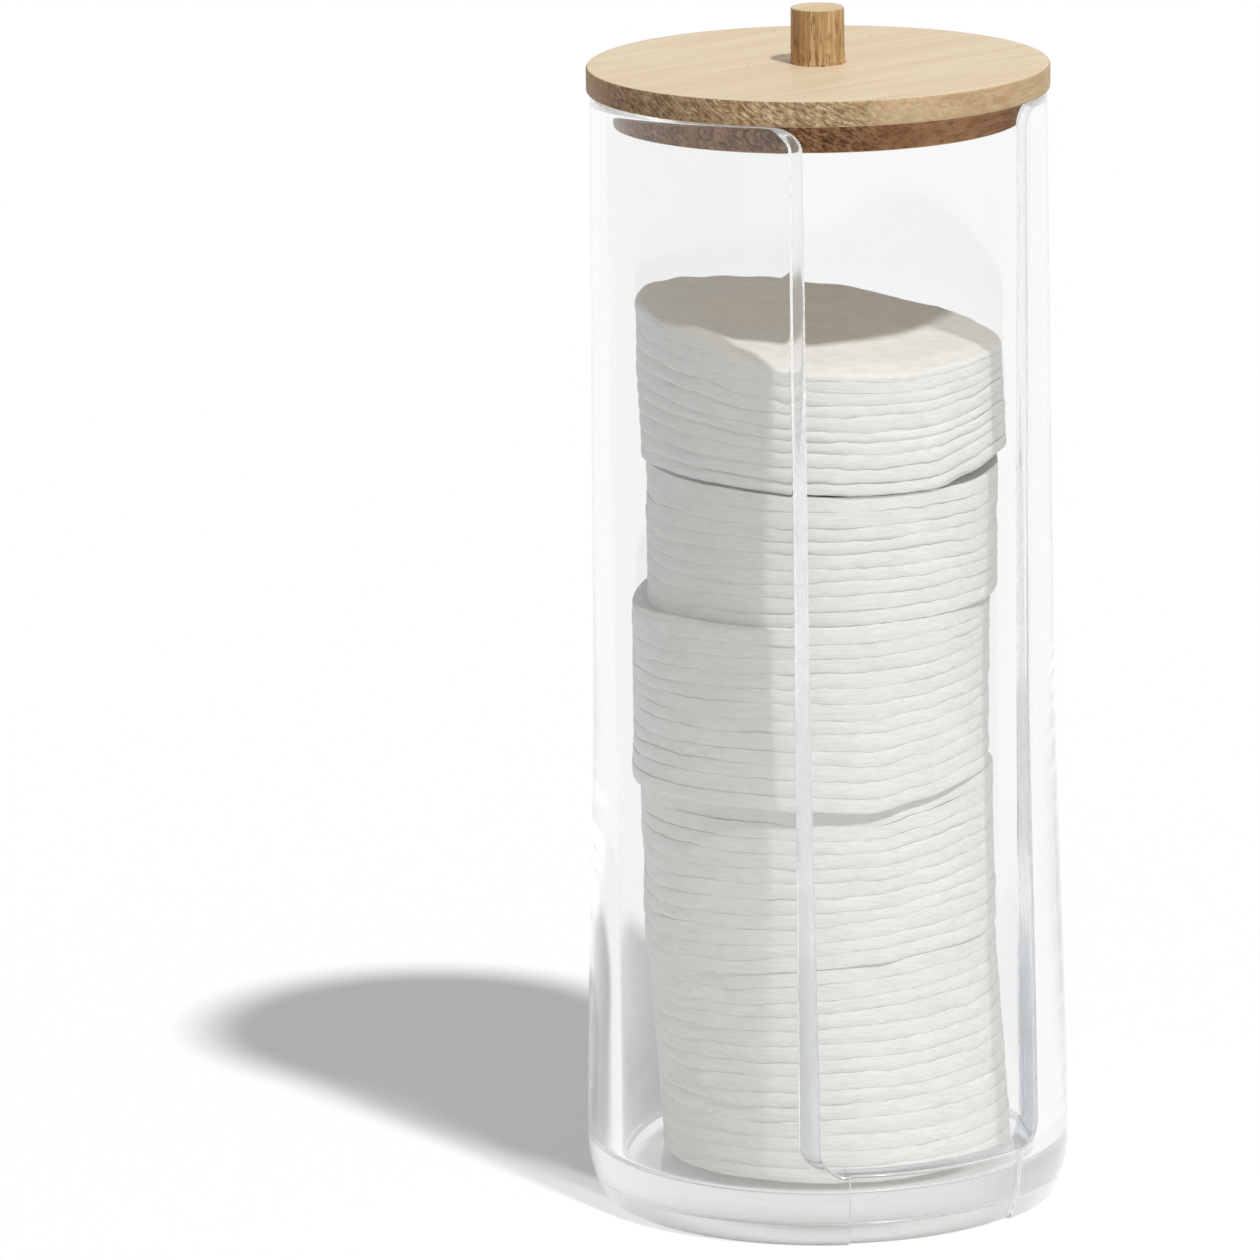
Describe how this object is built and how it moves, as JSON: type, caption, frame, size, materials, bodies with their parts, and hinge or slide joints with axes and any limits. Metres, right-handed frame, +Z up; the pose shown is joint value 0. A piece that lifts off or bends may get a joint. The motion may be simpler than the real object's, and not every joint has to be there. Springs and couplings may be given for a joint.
{
  "type": "cotton pad container",
  "caption": "Tall clear cylinder that stores and dispenses round cotton pads, open at the top with a front slot, and closed by a lift-off bamboo lid with a plug and a dowel knob.",
  "frame": {"origin": "middle of the foot's footprint, on the surface that the container stands on", "axes": "+Z up along the cylinder, -Y out of the front slot, +X to the right of someone who looks into the slot"},
  "size_m": [0.0762, 0.0754, 0.1891],
  "materials": {
    "clear_plastic": "clear, glossy, moulded",
    "bamboo_disc": "fine straight grain, sanded, matt lacquer",
    "bamboo_plug": "turned edge, bare",
    "bamboo_knob": "dowel, grain along its height",
    "cotton": "soft fibrous cotton, off-white"
  },
  "bodies": {
    "container": {"container": "clear_plastic"},
    "lid": {"lid_disc": "bamboo_disc", "lid_plug": "bamboo_plug", "lid_knob": "bamboo_knob"},
    "lower_pads": {"cotton_pad_11": "cotton", "cotton_pad_12": "cotton", "cotton_pad_13": "cotton", "cotton_pad_14": "cotton", "cotton_pad_15": "cotton", "cotton_pad_16": "cotton", "cotton_pad_17": "cotton", "cotton_pad_18": "cotton", "cotton_pad_19": "cotton", "cotton_pad_20": "cotton", "cotton_pad_21": "cotton", "cotton_pad_22": "cotton", "cotton_pad_23": "cotton", "cotton_pad_24": "cotton", "cotton_pad_25": "cotton", "cotton_pad_26": "cotton", "cotton_pad_27": "cotton", "cotton_pad_28": "cotton", "cotton_pad_29": "cotton", "cotton_pad_30": "cotton", "cotton_pad_31": "cotton", "cotton_pad_32": "cotton", "cotton_pad_33": "cotton", "cotton_pad_34": "cotton", "cotton_pad_35": "cotton", "cotton_pad_36": "cotton", "cotton_pad_37": "cotton", "cotton_pad_38": "cotton", "cotton_pad_39": "cotton", "cotton_pad_40": "cotton", "cotton_pad_41": "cotton", "cotton_pad_42": "cotton", "cotton_pad_43": "cotton", "cotton_pad_44": "cotton", "cotton_pad_45": "cotton", "cotton_pad_46": "cotton", "cotton_pad_47": "cotton", "cotton_pad_48": "cotton", "cotton_pad_49": "cotton", "cotton_pad_50": "cotton", "cotton_pad_51": "cotton", "cotton_pad_52": "cotton", "cotton_pad_53": "cotton", "cotton_pad_54": "cotton", "cotton_pad_55": "cotton", "cotton_pad_56": "cotton"},
    "top_pads": {"cotton_pad_01": "cotton", "cotton_pad_02": "cotton", "cotton_pad_03": "cotton", "cotton_pad_04": "cotton", "cotton_pad_05": "cotton", "cotton_pad_06": "cotton", "cotton_pad_07": "cotton", "cotton_pad_08": "cotton", "cotton_pad_09": "cotton", "cotton_pad_10": "cotton"}
  },
  "joints": [
    {"name": "lid_lift", "type": "slide", "parent": "container", "child": "lid", "axis": [0, 0, 1], "range_m": [0, 0.08]},
    {"name": "lower_pads_lift", "type": "slide", "parent": "container", "child": "lower_pads", "axis": [0, 0, 1], "range_m": [0, 0.015]},
    {"name": "top_pads_lift", "type": "slide", "parent": "lower_pads", "child": "top_pads", "axis": [0, 0, 1], "range_m": [0, 0.015]}
  ]
}
